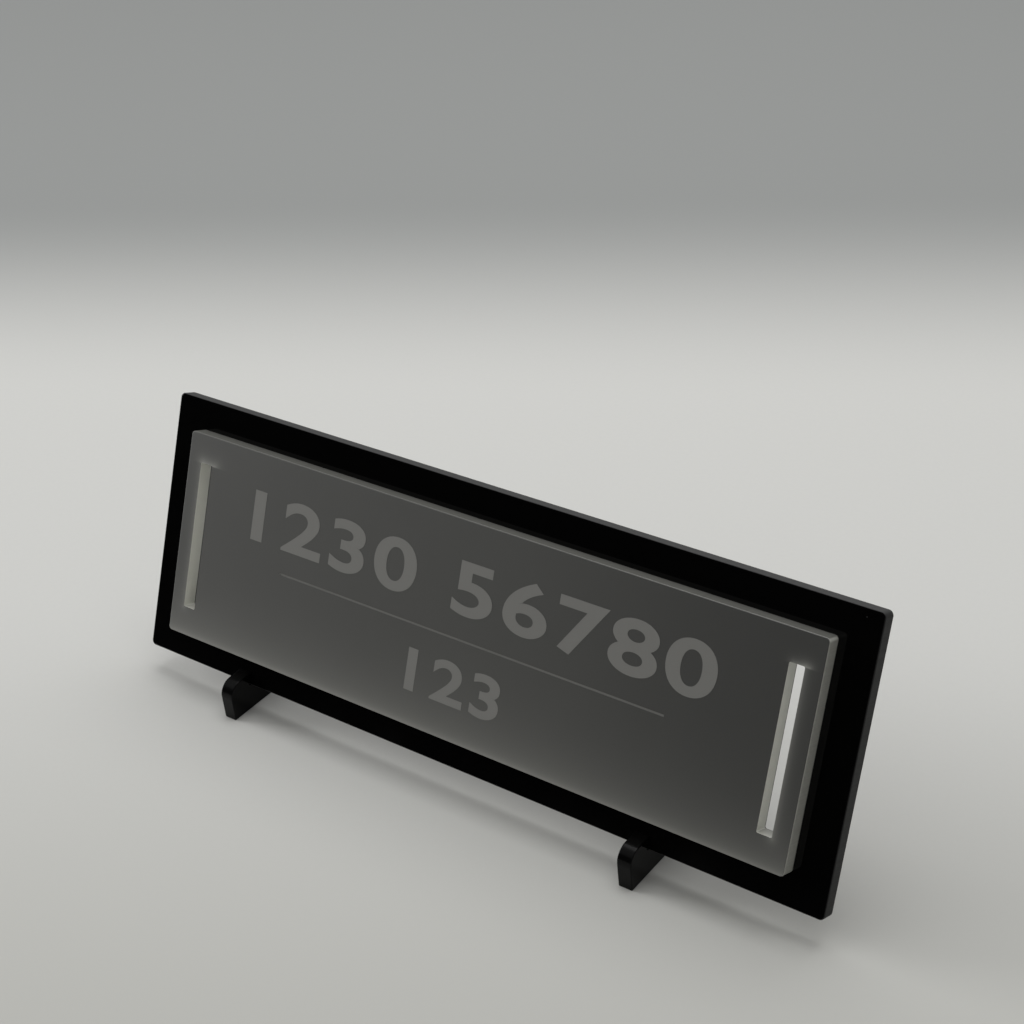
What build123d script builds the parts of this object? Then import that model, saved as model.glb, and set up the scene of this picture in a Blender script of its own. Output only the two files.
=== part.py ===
from build123d import *
import math
import os

# Backing plate: a sheet that stands on its long edge and leans back
plate_width = 160.0
plate_height = 54.3
plate_thickness = 3.0
plate_corner_radius = 1.0
lean_angle = 23.5  # degrees back from upright
plate_lift = 5.7  # lower front edge above the desk

# Name panel: a smaller sheet bonded to the middle of the backing plate
panel_side_margin = 7.3  # plate showing beyond each end of the panel
panel_edge_margin = 6.05  # plate showing above and below the panel
panel_thickness = 3.0
panel_corner_radius = 0.8

# Upright slots through the panel, and the larger windows behind them
slot_width = 3.0
slot_inset = 4.95  # end of the panel to the middle of the slot
slot_end_margin = 5.9  # long edge of the panel to the end of the slot
slot_corner_radius = 0.3
window_margin = 1.5  # window beyond the slot, all round
window_corner_radius = 1.0

# Rule engraved along the panel's face
rule_width = 0.4
rule_depth = 0.15
rule_end_margin = 27.7  # end of the panel to the end of the rule
rule_drop = 1.4  # below the panel's middle

# Adhesive film between the two sheets, cut to the panel's shape
film_thickness = 0.2

# Feet: cut sheets with a slanted slot for the plate's lower edge
foot_thickness = 3.0
foot_clearance = 0.1  # foot to plate, on each face of the slot
left_foot_inset = 26.8  # end of the plate to the middle of the foot
right_foot_inset = 36.7
toe_reach = 5.4  # ahead of the plate's lower front edge
toe_cover = 2.3  # toe's top above the plate's lower front edge
toe_radius = 3.0
prop_reach = 12.0  # up the plate's back, from its lower edge
prop_land = 3.5  # width of the prop's top
prop_radius = 2.0
heel_reach = 26.0  # behind the plate's lower front edge
heel_height = 4.0
heel_radius = 2.5

# Every piece
edge_break = 0.2  # rounding of the cut edges
cut_overrun = 1.0  # cuts run this far past the faces that they open

# Sizes that follow
panel_width = plate_width - 2 * panel_side_margin
panel_height = plate_height - 2 * panel_edge_margin
slot_length = panel_height - 2 * slot_end_margin
slot_place = panel_width / 2 - slot_inset
rule_length = panel_width - 2 * rule_end_margin
film_face = film_thickness
panel_face = film_face + panel_thickness

# The plate's frame: x along the plate, y up its face, z out of its front face
lean = math.radians(lean_angle)
top_overhang = plate_height * math.sin(lean) + plate_thickness * math.cos(lean)
depth_behind = max(heel_reach, top_overhang)
edge_place = (toe_reach - depth_behind) / 2
leaning = Plane(
    origin=(0, edge_place, plate_lift),
    x_dir=(1, 0, 0),
    z_dir=(0, -math.cos(lean), math.sin(lean)),
)
plate_middle = plate_height / 2


def sheet(width, height, radius, back, thickness):
    """A rounded sheet about the plate's middle, from its back face forward."""
    outline = Pos(0, plate_middle, back) * RectangleRounded(width, height, radius)
    return extrude(outline, thickness)


def slot_openings(margin, radius, back, thickness):
    """The two upright openings, each larger than its slot by a margin."""
    opening = RectangleRounded(slot_width + 2 * margin, slot_length + 2 * margin, radius)
    places = [Pos(side * slot_place, plate_middle, back - cut_overrun) for side in (-1, 1)]
    return [extrude(place * opening, thickness + 2 * cut_overrun) for place in places]


def break_edges(faces):
    """Round the outer edges of the given flat faces."""
    edges = [edge for face in faces for edge in face.outer_wire().edges()]
    return fillet(edges, edge_break)


def make_backing_plate():
    plate = sheet(plate_width, plate_height, plate_corner_radius, -plate_thickness, plate_thickness)
    plate = break_edges([plate.faces().sort_by(Axis.Z)[0], plate.faces().sort_by(Axis.Z)[-1]])
    for window in slot_openings(window_margin, window_corner_radius, -plate_thickness, plate_thickness):
        plate -= window
    return plate


def make_bond_film():
    film = sheet(panel_width, panel_height, panel_corner_radius, 0, film_thickness)
    for slot in slot_openings(0, slot_corner_radius, 0, film_thickness):
        film -= slot
    return film


def make_name_panel():
    panel = sheet(panel_width, panel_height, panel_corner_radius, film_face, panel_thickness)
    panel = break_edges([panel.faces().sort_by(Axis.Z)[-1]])
    for slot in slot_openings(0, slot_corner_radius, film_face, panel_thickness):
        panel -= slot
    rule = Pos(0, plate_middle - rule_drop, panel_face - rule_depth) * Rectangle(rule_length, rule_width)
    return panel - extrude(rule, rule_depth + cut_overrun)


def side_point(up, out):
    """A point of the side view, from distances up the plate's face and out of it."""
    across = edge_place + up * math.sin(lean) - out * math.cos(lean)
    return across, plate_lift + up * math.cos(lean) + out * math.sin(lean)


def make_foot():
    """One foot about the part's middle: rounded toe, slanted slot, prop and heel."""
    toe_front = edge_place - toe_reach
    toe_top = plate_lift + toe_cover
    heel_back = edge_place + heel_reach
    plate_core = -plate_thickness / 2
    prop_front = -plate_thickness - foot_clearance
    core_at_toe = (toe_cover - plate_core * math.sin(lean)) / math.cos(lean)
    corners = {
        "sole_front": (toe_front, 0),
        "toe": (toe_front, toe_top),
        "slot_mouth": side_point(core_at_toe, plate_core),
        "slot_top": side_point(prop_reach, plate_core),
        "prop": side_point(prop_reach, prop_front - prop_land),
        "heel": (heel_back, heel_height),
        "sole_back": (heel_back, 0),
    }
    outline = make_face(Polyline(*corners.values(), close=True))
    for name, radius in (("toe", toe_radius), ("prop", prop_radius), ("heel", heel_radius)):
        corner = outline.vertices().sort_by_distance(corners[name])[0]
        outline = fillet(corner, radius)

    slot_gap = plate_thickness + 2 * foot_clearance
    slot_depth = prop_reach + foot_clearance + cut_overrun
    slot = Rectangle(slot_gap, slot_depth, rotation=-lean_angle)
    slot_core = side_point(slot_depth / 2 - foot_clearance, plate_core)
    profile = outline - Pos(*slot_core) * slot

    foot = extrude(Plane.YZ * profile, foot_thickness / 2, both=True)
    return break_edges([foot.faces().sort_by(Axis.X)[0], foot.faces().sort_by(Axis.X)[-1]])


foot = make_foot()
pieces = {
    "backing_plate": leaning * make_backing_plate(),
    "bond_film": leaning * make_bond_film(),
    "name_panel": leaning * make_name_panel(),
    "left_foot": Pos(left_foot_inset - plate_width / 2, 0, 0) * foot,
    "right_foot": Pos(plate_width / 2 - right_foot_inset, 0, 0) * foot,
}

os.makedirs("parts", exist_ok=True)
for name, piece in pieces.items():
    export_step(piece, f"parts/{name}.step")
    print(name, "volume", round(piece.volume, 2))
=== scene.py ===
# %% [markdown]
# A desk name plate in acrylic. A frosted panel is bonded to a larger black plate, and the pair leans
# back in two small slotted feet. The construction comes from the imported part, at its real size in
# metres, and this lesson gives each surface its finish, engraves the panel and lights the set.

# %% Load the imported part
import math

import bmesh
import bpy
from mathutils import Euler, Matrix, Quaternion, Vector


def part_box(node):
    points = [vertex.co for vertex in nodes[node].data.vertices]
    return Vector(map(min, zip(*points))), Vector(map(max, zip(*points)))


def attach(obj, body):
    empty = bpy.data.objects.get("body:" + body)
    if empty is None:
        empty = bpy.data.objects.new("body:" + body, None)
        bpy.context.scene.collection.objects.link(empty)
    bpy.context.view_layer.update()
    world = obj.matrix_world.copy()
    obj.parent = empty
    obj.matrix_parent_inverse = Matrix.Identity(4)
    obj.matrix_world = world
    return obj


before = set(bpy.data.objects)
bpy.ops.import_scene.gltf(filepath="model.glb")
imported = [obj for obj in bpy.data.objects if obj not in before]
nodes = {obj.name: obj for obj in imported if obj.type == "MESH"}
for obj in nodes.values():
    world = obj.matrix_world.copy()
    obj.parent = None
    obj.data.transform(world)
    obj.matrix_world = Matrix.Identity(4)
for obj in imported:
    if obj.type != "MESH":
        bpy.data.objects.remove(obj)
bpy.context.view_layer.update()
mm = 0.001

# %% [markdown]
# Every sheet but the feet lies in one slanted plane. The patterns and the engraving follow that plane,
# so it needs axes of its own: x along the panel, y up its face and z out of it. They could be typed in,
# but then they would be wrong after the next change to the part. The largest triangle that faces
# the front gives the slant instead, and the panel's own points give the middle of its face.

# %% Find the panel's slanted face
panel = nodes["name_panel"]
front_triangle = max((side for side in panel.data.polygons if side.normal.y < 0), key=lambda side: side.area)
out_of_face = front_triangle.normal.copy()
along_face = Vector((1, 0, 0))
up_face = out_of_face.cross(along_face)
slant = Matrix((along_face, up_face, out_of_face))


def extent(points):
    """The lowest and highest corners of some points."""
    points = list(points)
    return [Vector(pick(point[axis] for point in points) for axis in range(3)) for pick in (min, max)]


slanted_low, slanted_high = extent(slant @ vertex.co for vertex in panel.data.vertices)
face_middle = (slanted_low + slanted_high) / 2
face_middle.z = slanted_high.z
face_frame = Matrix.Translation(slant.transposed() @ face_middle) @ slant.transposed().to_4x4()
to_face = face_frame.inverted()
face_half = (slanted_high - slanted_low) / 2
lean = math.degrees(math.asin(out_of_face.z))
print("panel leans", round(lean, 2), "degrees, face", [round(2 * x / mm, 2) for x in face_half.xy])

# %% [markdown]
# The panel's slots and its engraved rule are already cut in the part. Some finishes change next to
# them, so their places are measured here. Points well inside the panel's outline belong to one or the
# other: the slots are out near the ends, and the rule is in the middle.

# %% Measure the slots and the rule
outline_band = 2 * mm
ends_share = 0.8
inner_points = [
    point
    for point in (to_face @ vertex.co for vertex in panel.data.vertices)
    if abs(point.x) < face_half.x - outline_band and abs(point.y) < face_half.y - outline_band
]
slot_low, slot_high = extent(point for point in inner_points if point.x > ends_share * face_half.x)
rule_low, rule_high = extent(point for point in inner_points if abs(point.x) < ends_share * face_half.x)
slot_middle = (slot_low + slot_high) / 2
slot_half = (slot_high - slot_low) / 2
rule_size = rule_high - rule_low
print("slot", [round(2 * x / mm, 2) for x in slot_half], "rule", [round(x / mm, 2) for x in rule_size])

# %% [markdown]
# The camera stands at the photograph's viewpoint: above the sign, to its right, with a short telephoto
# lens and a slight tilt of the horizon. A camera could be turned by Euler angles, but a spot, a point
# to look at and a roll are easier to read and to change.

# %% Place the camera
camera_spot = Vector((202.5, -225.8, 245.5)) * mm
camera_aim = Vector((5.05, 10.18, 52.8)) * mm
camera_roll = math.radians(-6.22)
sensor_width, focal_length = 36, 70.27  # a camera counts these in millimetres
nearest_sight = 10 * mm
camera_data = bpy.data.cameras.new("photo_camera")
camera_data.sensor_width = sensor_width
camera_data.lens = focal_length
camera_data.clip_start = nearest_sight
camera = bpy.data.objects.new("photo_camera", camera_data)
camera.location = camera_spot
camera.rotation_mode = "QUATERNION"
looking = (camera_aim - camera_spot).to_track_quat("-Z", "Y")
camera.rotation_quaternion = looking @ Quaternion((0, 0, 1), camera_roll)
bpy.context.scene.collection.objects.link(camera)
bpy.context.scene.camera = camera
print("camera is", round((camera_aim - camera_spot).length / mm), "mm from the sign")

# %% [markdown]
# Finishes are built from nodes, and so is the light of the room. They could be wired one by one, but
# a few helpers keep the later cells short. The first adds a node and fills its inputs, either with
# a value or with a wire from another node. The others are steps of arithmetic.

# %% Helpers for nodes and sums
def add_node(owner, kind, inputs=None, **settings):
    """A new node in a material or a world, with its settings, and its inputs filled or wired."""
    tree = owner.node_tree
    node = tree.nodes.new(kind)
    for name, value in settings.items():
        setattr(node, name, value)
    for name, value in (inputs or {}).items():
        if isinstance(value, bpy.types.NodeSocket):
            tree.links.new(value, node.inputs[name])
        else:
            node.inputs[name].default_value = value
    return node


def calculate(owner, operation, first, second=0.0):
    """One step of arithmetic between sockets or numbers."""
    return add_node(owner, "ShaderNodeMath", {0: first, 1: second}, operation=operation).outputs[0]


def shift(owner, operation, first, second=(0, 0, 0)):
    """One step of arithmetic between vectors that ends in a vector."""
    return add_node(owner, "ShaderNodeVectorMath", {0: first, 1: second}, operation=operation).outputs[0]


def measure(owner, operation, first, second=(0, 0, 0)):
    """One step of arithmetic between vectors that ends in a number, such as a length."""
    inputs = {0: first, 1: second}
    return add_node(owner, "ShaderNodeVectorMath", inputs, operation=operation).outputs["Value"]


print("helpers ready for nodes and sums")

# %% [markdown]
# A real surface is never one flat colour: it goes from clean to smudged and from face to cut edge.
# A mask says how far along a point is, from 0 to 1, and a mix turns that into a level, a colour or
# a shader. Colour ramps would do the same, but a start and an end are easier to measure and to name.

# %% Helpers for masks and mixes
mix_share, mix_first, mix_second, mix_colour = 0, 6, 7, 2  # sockets of a Mix node that is set to colours


def soft_mask(owner, value, start, end, low=0.0, high=1.0):
    """A value that eases from low at start to high at end."""
    inputs = {"Value": value, "From Min": start, "From Max": end, "To Min": low, "To Max": high}
    return add_node(owner, "ShaderNodeMapRange", inputs, interpolation_type="SMOOTHSTEP").outputs[0]


def between(owner, share, low, high):
    """Low where share is 0 and high where it is 1."""
    return add_node(owner, "ShaderNodeMapRange", {"Value": share, "To Min": low, "To Max": high}).outputs[0]


def blend_colours(owner, share, first, second):
    """The first colour where share is 0, the second where it is 1."""
    inputs = {mix_share: share, mix_first: first, mix_second: second}
    return add_node(owner, "ShaderNodeMix", inputs, data_type="RGBA").outputs[mix_colour]


def blend_shaders(owner, share, first, second, output):
    """The first shader where share is 0, the second where it is 1, joined to the output of that name."""
    mixed = add_node(owner, "ShaderNodeMixShader", {0: share, 1: first, 2: second}).outputs[0]
    owner.node_tree.links.new(mixed, owner.node_tree.nodes[output].inputs["Surface"])


def tinted(owner, tint, level):
    """A tint made as bright as the level says."""
    return add_node(owner, "ShaderNodeVectorMath", {0: tint, "Scale": level}, operation="SCALE").outputs[0]


print("helpers ready for masks and mixes")

# %% [markdown]
# Each finish of the sign is one material with one surface shader, as each sheet is one stock. Patterns
# could be stacked as several shaders, but one shader with wired colour and roughness reads the same
# in other viewers. A sheet of the set, which isn't part of the object, is made by one more helper.

# %% Helpers for finishes and the set
def new_finish(name):
    """A new material and its surface shader."""
    material = bpy.data.materials.new(name)
    material.use_nodes = True
    return material, material.node_tree.nodes["Principled BSDF"]


def wire(material, shader, **sockets):
    """Join values to the shader's sockets, which are named with underscores for spaces."""
    for name, value in sockets.items():
        material.node_tree.links.new(value, shader.inputs[name.replace("_", " ")])


def stage_sheet(name, shape, material):
    """A finished flat shape as a sheet of the set, which isn't part of the object."""
    data = bpy.data.meshes.new(name)
    shape.to_mesh(data)
    shape.free()
    data.materials.append(material)
    sheet = bpy.data.objects.new(name, data)
    bpy.context.scene.collection.objects.link(sheet)
    return sheet


print("helpers ready for finishes and the set")

# %% [markdown]
# The set is a sheet of pale card with painted shade: it fades to a deeper grey behind the sign, as a
# backdrop in dimmer light would look, and a little in front of it, where the lamps' light falls off. A
# curved backdrop would fade by itself, but it would stand in the way of a camera behind the sign, so the
# shade is painted in the card's own colour. The card is a flat grid with a faint grain. Far out it turns
# clear, bit by bit, so that a low camera sees it melt into the room instead of ending in a hard line.

# %% Lay the card
card_half = 1.0
card_turn = math.radians(26)
back_shade_start, back_shade_end = 140 * mm, 268 * mm
front_shade_start, front_shade_end = 60 * mm, -110 * mm
rim_start, rim_end = 500 * mm, 850 * mm
pale_grain = (0.67, 0.67, 0.65, 1), (0.69, 0.69, 0.67, 1)
# painted shade: the greys the card turns to in front of the sign and behind it
front_shade_grey = (0.55, 0.55, 0.52, 1)
back_shade_grey = (0.316, 0.324, 0.32, 1)
grain_period, grain_detail = 1.1 * mm, 2.0
card_rough = 0.85

pale_card, shader = new_finish("pale_card")
card_place = add_node(pale_card, "ShaderNodeTexCoord").outputs["Object"]
card_axes = {"Vector": card_place, "Rotation": (0, 0, card_turn)}
turned = add_node(pale_card, "ShaderNodeMapping", card_axes, vector_type="TEXTURE").outputs[0]
depth = add_node(pale_card, "ShaderNodeSeparateXYZ", {0: turned}).outputs["Y"]
grain_inputs = {"Vector": card_place, "Scale": 1 / grain_period, "Detail": grain_detail}
grain = add_node(pale_card, "ShaderNodeTexNoise", grain_inputs).outputs[0]
card_colour = blend_colours(pale_card, grain, *pale_grain)
# painted shade: the card darkens towards the front, where the lamps' light falls off, and towards the back
front_painted_shade = soft_mask(pale_card, depth, front_shade_start, front_shade_end)
card_colour = blend_colours(pale_card, front_painted_shade, card_colour, front_shade_grey)
back_painted_shade = soft_mask(pale_card, depth, back_shade_start, back_shade_end)
card_colour = blend_colours(pale_card, back_painted_shade, card_colour, back_shade_grey)
wire(pale_card, shader, Base_Color=card_colour)
shader.inputs["Roughness"].default_value = card_rough
rim = soft_mask(pale_card, measure(pale_card, "LENGTH", card_place), rim_start, rim_end)
clear = add_node(pale_card, "ShaderNodeBsdfTransparent").outputs[0]
blend_shaders(pale_card, rim, shader.outputs[0], clear, "Material Output")

card_shape = bmesh.new()
bmesh.ops.create_grid(card_shape, x_segments=1, y_segments=1, size=card_half)
stage_sheet("card", card_shape, pale_card)
print("card fades from", round(back_shade_start / mm), "to", round(back_shade_end / mm), "mm behind the sign")

# %% [markdown]
# The room is bright overhead and dim at eye level. An even sky would be simpler, but it greys the black
# and flattens the edges. A camera that looks past the card sees a plain grey backdrop instead of the dim
# room, and so do reflections of what stands low down, because gloss should show the same backdrop.

# %% Light the room
room_bright_side = Vector((-0.15, 0.20, 0.95)).normalized()
room_dim, room_bright = 0.02, 0.46
room_fade_start, room_fade_end = 0.0, 0.9
room_tint = (1, 1, 0.98, 1)
backdrop_grey = (0.31, 0.315, 0.315, 1)
backdrop_top, backdrop_end = 0.15, 0.35  # height of a direction, from 0 at eye level to 1 overhead
room = bpy.data.worlds.new("room")
room.use_nodes = True
direction = add_node(room, "ShaderNodeTexCoord").outputs["Generated"]
towards_bright = measure(room, "DOT_PRODUCT", direction, room_bright_side)
room_level = soft_mask(room, towards_bright, room_fade_start, room_fade_end, room_dim, room_bright)
ceiling = add_node(room, "ShaderNodeBackground", {"Color": room_tint, "Strength": room_level}).outputs[0]
backdrop = add_node(room, "ShaderNodeBackground", {"Color": backdrop_grey}).outputs[0]
height = add_node(room, "ShaderNodeSeparateXYZ", {0: direction}).outputs["Z"]
low_down = soft_mask(room, height, backdrop_end, backdrop_top)
ray = add_node(room, "ShaderNodeLightPath").outputs
in_gloss = calculate(room, "MAXIMUM", ray["Is Glossy Ray"], ray["Is Transmission Ray"])
in_gloss = calculate(room, "MULTIPLY", in_gloss, low_down)
shows_backdrop = calculate(room, "MAXIMUM", ray["Is Camera Ray"], in_gloss)
blend_shaders(room, shows_backdrop, ceiling, backdrop, "World Output")
bpy.context.scene.world = room
bpy.context.scene.view_settings.view_transform = "Standard"
print("room goes from", room_dim, "low down to", room_bright, "overhead")

# %% [markdown]
# One large lamp hangs above and a little behind the sign: it lights the top edges, leaves the sign's face
# in gentle shade and puts a soft shadow under it. A second one, far to the left like a window, shines
# along the sign: it lightens the shadow under the plate and gives the frost a faint sheen. Small lamps
# near the sign would need less power, but their light would fall off across it.

# %% Hang the lamps
def soft_lamp(name, spot, aim, width, height, power):
    """A plain rectangular lamp that looks at a point: places and sizes in metres, power in watts."""
    data = bpy.data.lights.new(name, "AREA")
    data.shape = "RECTANGLE"
    data.size = width
    data.size_y = height
    data.energy = power
    lamp = bpy.data.objects.new(name, data)
    lamp.location = spot
    lamp.rotation_mode = "QUATERNION"
    lamp.rotation_quaternion = (aim - spot).to_track_quat("-Z", "Y")
    lamp.visible_camera = False
    bpy.context.scene.collection.objects.link(lamp)
    print(name, round((aim - spot).length, 2), "m away")


top_spot, top_aim = Vector((-0.03, 0.28, 0.75)), Vector((0, 0.15, 0))
soft_lamp("top_lamp", top_spot, top_aim, width=0.7, height=0.6, power=3.25)
window_spot, window_aim = Vector((-1.26, -0.28, 0.33)), Vector((0, 0, 0.03))
soft_lamp("left_window", window_spot, window_aim, width=0.5, height=0.65, power=9.0)

# %% [markdown]
# Gloss black shows whatever stands in front of it, and here that would be the pale card. In a studio,
# a black card called a flag is stood just out of the picture to keep such a surface dark. This one is
# seen in reflections alone, so it takes no light away and never gets into a picture itself.

# %% Stand a flag in front
flag_spot = Vector((-0.09, -0.16, 0.06))
flag_half_width, flag_half_height = 0.13, 0.06
felt_grey, felt_rough = (0.01, 0.01, 0.01, 1), 1.0
black_felt, shader = new_finish("black_felt")
shader.inputs["Base Color"].default_value = felt_grey
shader.inputs["Roughness"].default_value = felt_rough
flag_shape = bmesh.new()
bmesh.ops.create_grid(flag_shape, x_segments=1, y_segments=1, size=1)
bmesh.ops.scale(flag_shape, vec=(flag_half_width, flag_half_height, 1), verts=flag_shape.verts)
facing_sign = (-flag_spot.xy).to_3d().to_track_quat("Z", "Y").to_matrix().to_4x4()
bmesh.ops.transform(flag_shape, matrix=Matrix.Translation(flag_spot) @ facing_sign, verts=flag_shape.verts)
flag = stage_sheet("flag", flag_shape, black_felt)
for sight in ("camera", "diffuse", "transmission", "shadow"):
    setattr(flag, f"visible_{sight}", False)
print("flag is", round(flag_spot.xy.length / mm), "mm in front")

# %% [markdown]
# Sheet acrylic has two kinds of surface. Its faces are cast against glass, so they are mirror smooth
# but for smudges, dust and hairlines. Its edges are cut by a laser, which leaves a satin grey band with
# fine ridges that run through the thickness. A mask from the surface's direction tells them apart,
# so one material can serve a whole piece. It needs the sheet's own axes, with x along the sheet and
# z through it. A second mask picks out the edges at the sheet's two ends.

# %% Read a sheet's own axes in a material
face_cosine, edge_cosine = 0.97, 0.6
side_cosine, end_cosine = 0.3, 0.9


def sheet_point(material, sheet_frame):
    """Where a point of the surface is, in the sheet's axes."""
    axes = {"Location": sheet_frame.translation, "Rotation": sheet_frame.to_euler()}
    axes["Vector"] = add_node(material, "ShaderNodeTexCoord").outputs["Object"]
    return add_node(material, "ShaderNodeMapping", axes, vector_type="TEXTURE").outputs[0]


def edge_masks(material, sheet_frame):
    """A mask that is 1 on the sheet's cut edges, and one that is 1 where they face along the sheet."""
    facing = add_node(material, "ShaderNodeTexCoord").outputs["Normal"]
    along, through = sheet_frame.col[0].to_3d(), sheet_frame.col[2].to_3d()
    turned_through = calculate(material, "ABSOLUTE", measure(material, "DOT_PRODUCT", facing, through))
    turned_along = calculate(material, "ABSOLUTE", measure(material, "DOT_PRODUCT", facing, along))
    cut = soft_mask(material, turned_through, face_cosine, edge_cosine)
    return cut, soft_mask(material, turned_along, side_cosine, end_cosine)


face_turn, edge_turn = (round(math.degrees(math.acos(cosine))) for cosine in (face_cosine, edge_cosine))
print("a face ends at", face_turn, "degrees of turn and a cut edge starts by", edge_turn)

# %% [markdown]
# Three marks turn up again and again on such sheets: cloudy unevenness, small round specks and the
# ridges of the laser. Photographs of real dirt could be laid on, but noise has no seams and no size
# of its own, so its period is given in real millimetres. Stretched noise makes scratches and ridges.

# %% Helpers for smudges, specks and ridges
single_layer, some_layers, many_layers = 1.0, 2.0, 3.0  # how much finer detail a noise has in it
noise_low, noise_high = 0.3, 0.7  # most noise lies between these
ridge_period, ridge_length = 0.25 * mm, 40
speck_core_share = 0.4


def noise(material, point, period, drawn_out=(1, 1, 1), detail=some_layers):
    """Noise of about the given period, and longer along an axis by what drawn_out says."""
    scale = [1 / (period * times) for times in drawn_out]
    scaled = shift(material, "MULTIPLY", point, scale)
    inputs = {"Vector": scaled, "Scale": 1.0, "Detail": detail}
    return add_node(material, "ShaderNodeTexNoise", inputs).outputs[0]


def specks(material, point, spacing, radius, kept_share):
    """A mask of small round specks: one to each cell of the spacing, with only a share of them kept."""
    cells = add_node(material, "ShaderNodeTexVoronoi", {"Vector": point, "Scale": 1 / spacing})
    rim_distance = radius / spacing
    spot = soft_mask(material, cells.outputs["Distance"], rim_distance, speck_core_share * rim_distance)
    lot = add_node(material, "ShaderNodeSeparateColor", {0: cells.outputs["Color"]}).outputs[0]
    return calculate(material, "MULTIPLY", spot, calculate(material, "LESS_THAN", lot, kept_share))


def cut_ridges(material, point):
    """The fine ridges that a laser leaves through the thickness of a cut edge."""
    return noise(material, point, ridge_period, drawn_out=(1, 1, ridge_length), detail=single_layer)


print("cut edges have a ridge each", round(ridge_period / mm, 2), "mm")

# %% [markdown]
# The backing plate and the feet are cut from the same black sheet. An even gloss would look drawn, and
# dirt on black shows as roughness rather than colour, so broad smudges and thin hairlines go there,
# and only dust is paler. Cut edges are satin, and those at a sheet's ends are painted darker, as shade,
# because less light falls on them.

# %% Mix the black acrylic
acrylic_ior = 1.49
no_tint = (1, 1, 1)
black_level, dust_level = 0.0015, 0.10
smudge_period, smudge_rough_low, smudge_rough_high = 22 * mm, 0.04, 0.11
smudge_start, smudge_end = 0.35, 0.75  # levels of the noise, as for the hairlines
hairline_period, hairline_length, hairline_rough = 2 * mm, 25, 0.06
hairline_start, hairline_end = 0.68, 0.80
dust_spacing, dust_radius, dust_share = 4 * mm, 0.12 * mm, 0.3
ridge_shares = 0.85, 1.15
ridge_strength, ridge_height = 0.12, 0.02 * mm
# painted shade: cut edges at a sheet's ends keep this share of the edge level
end_edge_shade_share = 0.45


def black_acrylic(name, sheet_frame, edge_level, edge_rough, shine):
    """Gloss black faces with smudges, hairlines and dust, and satin cut edges, painted darker as shade at
    the sheet's ends.
    """
    material, shader = new_finish(name)
    point = sheet_point(material, sheet_frame)
    cut, ends = edge_masks(material, sheet_frame)
    smudge = noise(material, point, smudge_period, detail=many_layers)
    along_sheet = (hairline_length, 1, 1)
    hairline = noise(material, point, hairline_period, drawn_out=along_sheet, detail=single_layer)
    ridge = cut_ridges(material, point)

    smudged = soft_mask(material, smudge, smudge_start, smudge_end, smudge_rough_low, smudge_rough_high)
    scratched = soft_mask(material, hairline, hairline_start, hairline_end, 0.0, hairline_rough)
    face_rough = calculate(material, "ADD", smudged, scratched)
    ridged_rough = calculate(material, "MULTIPLY", between(material, ridge, *ridge_shares), edge_rough)

    dust = specks(material, point, dust_spacing, dust_radius, dust_share)
    # painted shade: the end edges are darker
    cut_level = between(material, ends, edge_level, end_edge_shade_share * edge_level)
    level = between(material, dust, between(material, cut, black_level, cut_level), dust_level)
    relief = {"Height": calculate(material, "MULTIPLY", ridge, cut), "Strength": ridge_strength}
    relief["Distance"] = ridge_height

    wire(
        material,
        shader,
        Base_Color=tinted(material, no_tint, level),
        Roughness=between(material, cut, face_rough, ridged_rough),
        Normal=add_node(material, "ShaderNodeBump", relief).outputs[0],
    )
    shader.inputs["IOR"].default_value = acrylic_ior
    shader.inputs["Specular IOR Level"].default_value = shine
    return material


print("black acrylic has smudges of", round(smudge_period / mm), "mm")

# %% [markdown]
# The plate wears black acrylic in the slanted axes. Each foot is a small sheet that stands on edge across
# the plate, so it gets axes from its own box: in the plate's axes its cut edges would pass for faces.
# The feet's cut edges are smoother than the plate's, and their colour is painted much darker, as shade.

# %% Dress the plate and the feet
def dress(node_name, material):
    """Give a carried-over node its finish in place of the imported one."""
    node = nodes[node_name]
    node.data.materials.clear()
    node.data.materials.append(material)
    print(node_name, "wears", material.name)


plate_finish = black_acrylic(
    "black_acrylic_plate", face_frame, edge_level=0.057, edge_rough=0.60, shine=0.20
)
dress("backing_plate", plate_finish)
# A foot's sheet stands on edge: x runs to the back, y up, and z through its thickness
upright_sheet = Euler((math.pi / 2, 0, math.pi / 2)).to_matrix().to_4x4()
for foot_name in ("left_foot", "right_foot"):
    low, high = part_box(foot_name)
    foot_frame = Matrix.Translation((low + high) / 2) @ upright_sheet
    foot_finish = f"black_acrylic_{foot_name}"
    # painted shade: the feet's edge level is far below the plate's, though the sheet is the same
    dress(foot_name, black_acrylic(foot_finish, foot_frame, edge_level=0.004, edge_rough=0.22, shine=0.13))

# %% [markdown]
# The panel is clear sheet with a frosted face. Clear frost over black looks dark grey, with a wide, weak
# sheen. Light that enters through the cut edges makes them paler, and it glows in the frost where plenty
# comes in: along the lower edge, which faces the pale desk, on the outer side of each slot, and above
# each slot, where its top wall shows dimly through the frost. Rough glass would do this by itself, but
# it is noisy, and other viewers lose it, so here the paler edges and the glow are painted light in the
# colour. First come the glow's shapes.

# %% Shape the painted glow in the frost
no_limit = 1.0  # metres, further than any point of the panel
wall_margin = 0.05 * mm
outer_reach = 0.7 * mm
cap_shift = 0.8 * mm  # the wall shows through the frost a little to the right of where it is
cap_edge = 0.3 * mm


def box_distance(material, point, middle, half):
    """How far a point of the face is from an upright rectangle, and 0 inside it."""
    offset = shift(material, "ABSOLUTE", shift(material, "SUBTRACT", point, middle))
    beyond = shift(material, "SUBTRACT", offset, Vector((half.x, half.y, no_limit)))
    return measure(material, "LENGTH", shift(material, "MAXIMUM", beyond))


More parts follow.
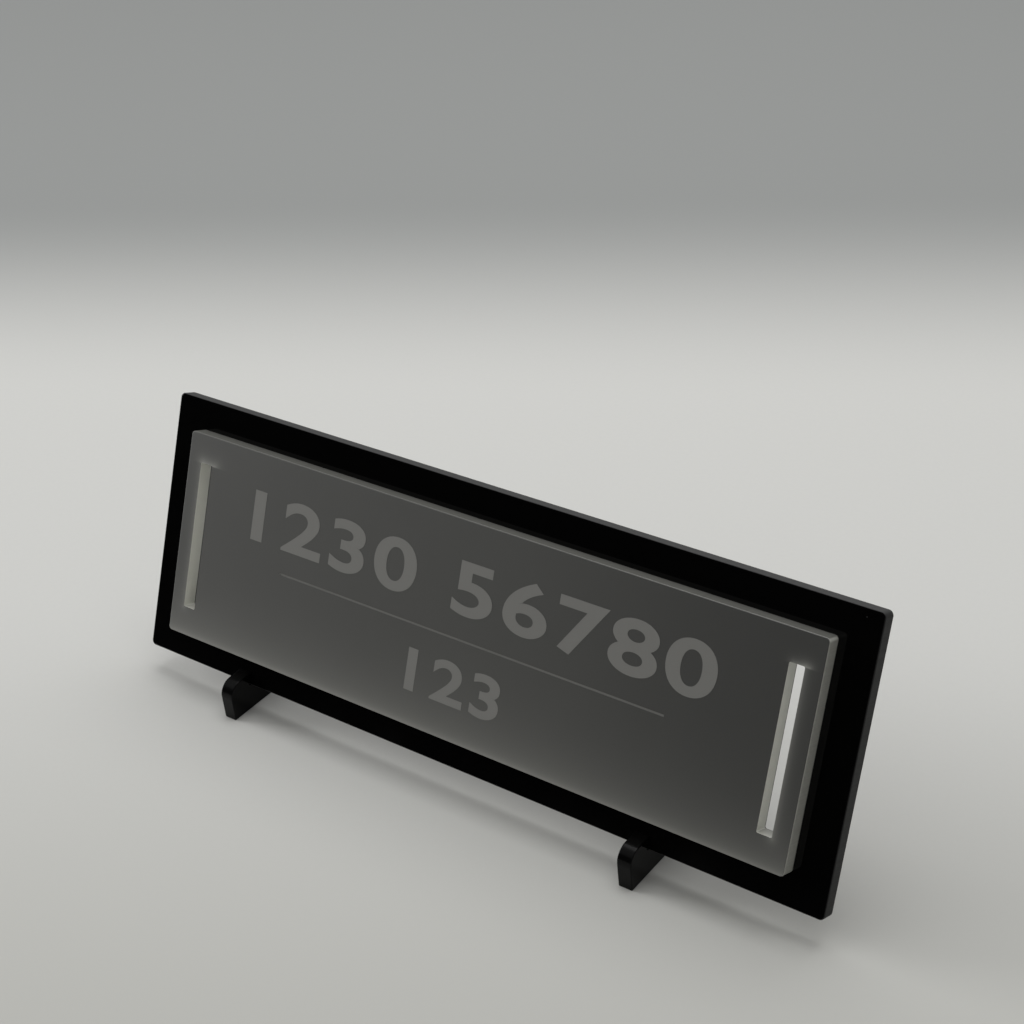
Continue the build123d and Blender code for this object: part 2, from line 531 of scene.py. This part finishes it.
def slot_place(side):
    """The middle of the slot on one side, -1 for left and 1 for right, in the face's axes."""
    return Vector((side * slot_middle.x, slot_middle.y, 0))


def fading(material, distance, reach):
    """A glow that falls to about a third at each further reach."""
    return calculate(material, "EXPONENT", calculate(material, "MULTIPLY", distance, -1 / reach))


def outer_glow(material, point, side):
    """The painted glow along a slot's outer side."""
    outer_wall = slot_place(side) + Vector((side * slot_half.x, 0, 0))
    distance = box_distance(material, point, outer_wall, Vector((0, slot_half.y)))
    return fading(material, distance, outer_reach)


def cap_glow(material, point, up, side, reach):
    """The painted glow above a slot, which stops at the line of the slot's top."""
    top = slot_place(side) + Vector((cap_shift, slot_half.y, 0))
    glow = fading(material, box_distance(material, point, top, Vector((slot_half.x, 0))), reach)
    return calculate(material, "MULTIPLY", glow, soft_mask(material, up, top.y - cap_edge, top.y))


def slot_walls(material, point):
    """A mask that is 1 in both slots."""
    masks = []
    for side in (-1, 1):
        distance = box_distance(material, point, slot_place(side), slot_half)
        masks.append(calculate(material, "LESS_THAN", distance, wall_margin))
    return calculate(material, "ADD", *masks)


print("glow reaches", round(outer_reach / mm, 1), "mm out of the slots")

# %% [markdown]
# The face is one warm grey at a level that adds up: the frost itself, with painted shade that darkens it
# towards the right end, away from the window, the painted glow above the lower edge, strong at first and
# then lingering, and the painted glows by the slots. Mixing them by masks would let one glow hide another,
# but light adds up, so they do too.

# %% Add up the frost's levels and its painted light and shade
frost_low, frost_high = 0.057, 0.067
# painted shade: the share of the frost's level that is left at the right end
far_end_shade_share = 0.52
# painted light: the glows below are added to the frost's colour
edge_glows = (0.7 * mm, 0.145), (5.5 * mm, 0.105)  # how far each reaches, and how strong it is
outer_strengths = {-1: 0.10, 1: 0.145}
cap_reaches = {-1: 0.9 * mm, 1: 0.5 * mm}
cap_strengths = {-1: 0.20, 1: 0.18}
cloud_period = 17 * mm


def frost_level(material, point):
    """How pale the frosted face is: its own grey with painted shade towards the right end, and the painted
    glows on it.
    """
    places = add_node(material, "ShaderNodeSeparateXYZ", {0: point}).outputs
    cloud = noise(material, point, cloud_period, detail=many_layers)
    # painted shade: the frost darkens towards the right end, away from the window
    painted_right_shade = soft_mask(material, places["X"], 0.0, face_half.x, 1.0, far_end_shade_share)
    level = calculate(material, "MULTIPLY", between(material, cloud, frost_low, frost_high), painted_right_shade)

    above_edge = calculate(material, "ADD", places["Y"], face_half.y)
    glows = [(fading(material, above_edge, reach), strength) for reach, strength in edge_glows]
    for side in (-1, 1):
        glows.append((outer_glow(material, point, side), outer_strengths[side]))
        glows.append((cap_glow(material, point, places["Y"], side, cap_reaches[side]), cap_strengths[side]))
    for glow, strength in glows:
        level = calculate(material, "ADD", level, calculate(material, "MULTIPLY", glow, strength))
    return level


print("frost dims to", far_end_shade_share, "of its level at the right end")

# %% [markdown]
# Now the panel's finish. Cut edges and slot walls are painted paler, as light that comes in through them:
# end edges and the slots' long walls look out sideways and catch more light, so they are painted paler
# still. Frosting is a fine etch, so the face gets a very shallow relief of its own period, with an even,
# high roughness, and the cut edges are smoother.

# %% Mix the frosted acrylic
frost_tint = (1.0, 1.0, 0.92)
# painted light: how pale the cut edges and slot walls are painted
long_edge_level, end_edge_level = 0.145, 0.54
end_wall_level, long_wall_level = 0.48, 0.71
frost_period = 0.2 * mm
frost_rough_low, frost_rough_high, cut_rough = 0.50, 0.60, 0.32
frost_strength, frost_height = 0.15, 0.01 * mm
frost_shine = 0.9


def frosted_acrylic():
    """The panel's frosted face with its painted glows, and its cut edges and slot walls painted paler by
    light.
    """
    material, shader = new_finish("frosted_acrylic")
    point = sheet_point(material, face_frame)
    cut, ends = edge_masks(material, face_frame)
    frost = noise(material, point, frost_period, detail=single_layer)
    ridges = between(material, cut_ridges(material, point), *ridge_shares)

    # painted light: edges and slot walls are paler where light passes through them
    smooth_level = between(material, ends, long_edge_level, end_edge_level)
    edge_level = calculate(material, "MULTIPLY", smooth_level, ridges)
    wall_level = between(material, ends, end_wall_level, long_wall_level)
    cut_level = between(material, slot_walls(material, point), edge_level, wall_level)
    level = between(material, cut, frost_level(material, point), cut_level)
    frost_rough = soft_mask(material, frost, noise_low, noise_high, frost_rough_low, frost_rough_high)
    relief = {"Height": frost, "Strength": frost_strength, "Distance": frost_height}

    wire(
        material,
        shader,
        Base_Color=tinted(material, frost_tint, level),
        Roughness=between(material, cut, frost_rough, cut_rough),
        Normal=add_node(material, "ShaderNodeBump", relief).outputs[0],
    )
    shader.inputs["IOR"].default_value = acrylic_ior
    shader.inputs["Specular IOR Level"].default_value = frost_shine
    return material


dress("name_panel", frosted_acrylic())

# %% [markdown]
# The bond between the sheets is a clear adhesive film, which shows only at its rim. It is slightly hazy,
# with small trapped bubbles, and both come from noise, because a glass shader would be lost in so thin
# a line.

# %% Mix the adhesive film
film_tint = (1.0, 1.0, 0.95)
haze_period, haze_low, haze_high = 3 * mm, 0.10, 0.14
bubble_spacing, bubble_radius, bubble_share, bubble_level = 2 * mm, 0.2 * mm, 0.4, 0.30
film_rough_low, film_rough_high = 0.25, 0.45


def adhesive_film():
    """Slightly hazy clear film with trapped bubbles."""
    material, shader = new_finish("adhesive_film")
    point = sheet_point(material, face_frame)
    haze = noise(material, point, haze_period)
    bubbles = specks(material, point, bubble_spacing, bubble_radius, bubble_share)
    level = between(material, bubbles, between(material, haze, haze_low, haze_high), bubble_level)
    rough = soft_mask(material, haze, noise_low, noise_high, film_rough_low, film_rough_high)
    wire(material, shader, Base_Color=tinted(material, film_tint, level), Roughness=rough)
    return material


dress("bond_film", adhesive_film())

# %% [markdown]
# A laser engraves the panel by burning off a thin skin in close parallel passes. The burned skin is
# chalky, so it scatters more light than the frost does and shows as a paler grey. A plain pale colour
# would look like paint, so fine lines, one to each pass, run across the marks, and the chalk is uneven.

# %% Mix the engraved finish
pass_pitch, pass_strength, pass_depth = 0.15 * mm, 0.1, 0.01 * mm
chalk_tint = (1.0, 0.99, 0.94)
chalk_period, chalk_low, chalk_high = 0.55 * mm, 0.22, 0.25
chalk_rough_low, chalk_rough_high = 0.70, 0.85


def engraved_frost():
    """Chalky burned skin, with a fine line to each pass of the laser."""
    material, shader = new_finish("engraved_frost")
    point = sheet_point(material, face_frame)
    up = add_node(material, "ShaderNodeSeparateXYZ", {0: point}).outputs["Y"]
    passes = calculate(material, "SINE", calculate(material, "MULTIPLY", up, math.tau / pass_pitch))
    chalk = noise(material, point, chalk_period, detail=many_layers)
    level = between(material, chalk, chalk_low, chalk_high)
    rough = soft_mask(material, chalk, noise_low, noise_high, chalk_rough_low, chalk_rough_high)
    relief = {"Height": passes, "Strength": pass_strength, "Distance": pass_depth}
    wire(
        material,
        shader,
        Base_Color=tinted(material, chalk_tint, level),
        Roughness=rough,
        Normal=add_node(material, "ShaderNodeBump", relief).outputs[0],
    )
    return material


engraved = engraved_frost()
print("engraving shows a pass each", round(pass_pitch / mm, 2), "mm")

# %% [markdown]
# Engraving has hardly any depth, so each mark is a skin thinner than a hair, part sunk in the panel's
# face. It could be a mask in the panel's own finish, but numerals are hard to draw with nodes. One
# helper gives a flat mesh its thickness by extrusion, and one lays it on the slanted face.

# %% Helpers for thin marks
def thin_skin(shape, thickness):
    """Extrude a flat mesh to a closed skin, with flat faces that point outwards."""
    skin = bmesh.ops.extrude_face_region(shape, geom=shape.faces[:])
    raised = [item for item in skin["geom"] if isinstance(item, bmesh.types.BMVert)]
    bmesh.ops.translate(shape, vec=(0, 0, thickness), verts=raised)
    bmesh.ops.recalc_face_normals(shape, faces=shape.faces)
    for face in shape.faces:
        face.smooth = False


def add_mark(name, shape, place):
    """Lay a finished skin on the panel, as a piece that moves with the plate."""
    bmesh.ops.transform(shape, matrix=face_frame @ Matrix.Translation(place), verts=shape.verts)
    data = bpy.data.meshes.new(name)
    shape.to_mesh(data)
    shape.free()
    data.materials.append(engraved)
    piece = bpy.data.objects.new(name, data)
    bpy.context.scene.collection.objects.link(piece)
    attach(piece, "plate")
    print(name, "has", len(data.polygons), "faces")


print("helpers ready for thin marks")

# %% [markdown]
# The panel's two lines of marks are plain numerals here, a wide line above the rule and a short one below.
# They could be drawn stroke by stroke, but text gives good outlines at once. It becomes a flat mesh before
# it is placed, is stretched to the line's width and height, gets its skin and is then laid on the panel.
# A small offset fattens the strokes, because such signs have bold marks.

# %% Engrave the numerals
mark_skin, mark_sink = 0.03 * mm, 0.01 * mm
stroke_offset = 0.022  # a share of the text's own size
numeral_gap = 1.1  # times the font's own spacing
same_point = 1e-5


def numerals(name, digits, width, height, middle_up):
    """A line of numerals, centred on the panel at a height above its middle."""
    curve = bpy.data.curves.new(name, "FONT")
    curve.body = digits
    curve.space_character = numeral_gap
    curve.offset = stroke_offset
    curve.fill_mode = "FRONT"
    text = bpy.data.objects.new(name + "_text", curve)
    bpy.context.scene.collection.objects.link(text)
    bpy.context.view_layer.update()
    flat = bpy.data.meshes.new_from_object(text.evaluated_get(bpy.context.evaluated_depsgraph_get()))
    bpy.data.objects.remove(text)

    shape = bmesh.new()
    shape.from_mesh(flat)
    bpy.data.meshes.remove(flat)
    bmesh.ops.remove_doubles(shape, verts=shape.verts, dist=same_point)
    low, high = extent(vertex.co for vertex in shape.verts)
    bmesh.ops.translate(shape, vec=-(low + high) / 2, verts=shape.verts)
    stretch = Vector((width / (high.x - low.x), height / (high.y - low.y), 1))
    bmesh.ops.scale(shape, vec=stretch, verts=shape.verts)
    thin_skin(shape, mark_skin)
    print(name, "stretched", round(stretch.x / stretch.y, 2), "times wider than the font")
    add_mark(name, shape, (0, middle_up, -mark_sink))


numerals("upper_numerals", "1230 56780", width=107.5 * mm, height=10.6 * mm, middle_up=8.5 * mm)
numerals("lower_numerals", "123", width=22 * mm, height=8.5 * mm, middle_up=-10.2 * mm)

# %% [markdown]
# The rule is a groove in the panel. Its floor has the same burned skin as the numerals, so a thin strip of
# that finish lies in the groove. A grid face scaled to the groove is the simplest start.

# %% Lay the rule's burned floor
floor_skin = 0.04 * mm
rule_middle = (rule_low + rule_high) / 2
rule_shape = bmesh.new()
bmesh.ops.create_grid(rule_shape, x_segments=1, y_segments=1, size=0.5)
bmesh.ops.scale(rule_shape, vec=(rule_size.x, rule_size.y, 1), verts=rule_shape.verts)
thin_skin(rule_shape, floor_skin)
add_mark("rule_floor", rule_shape, (rule_middle.x, rule_middle.y, rule_low.z))
print("rule", round(rule_size.x / mm, 1), "mm long, groove", round(-rule_low.z / mm, 2), "mm deep")
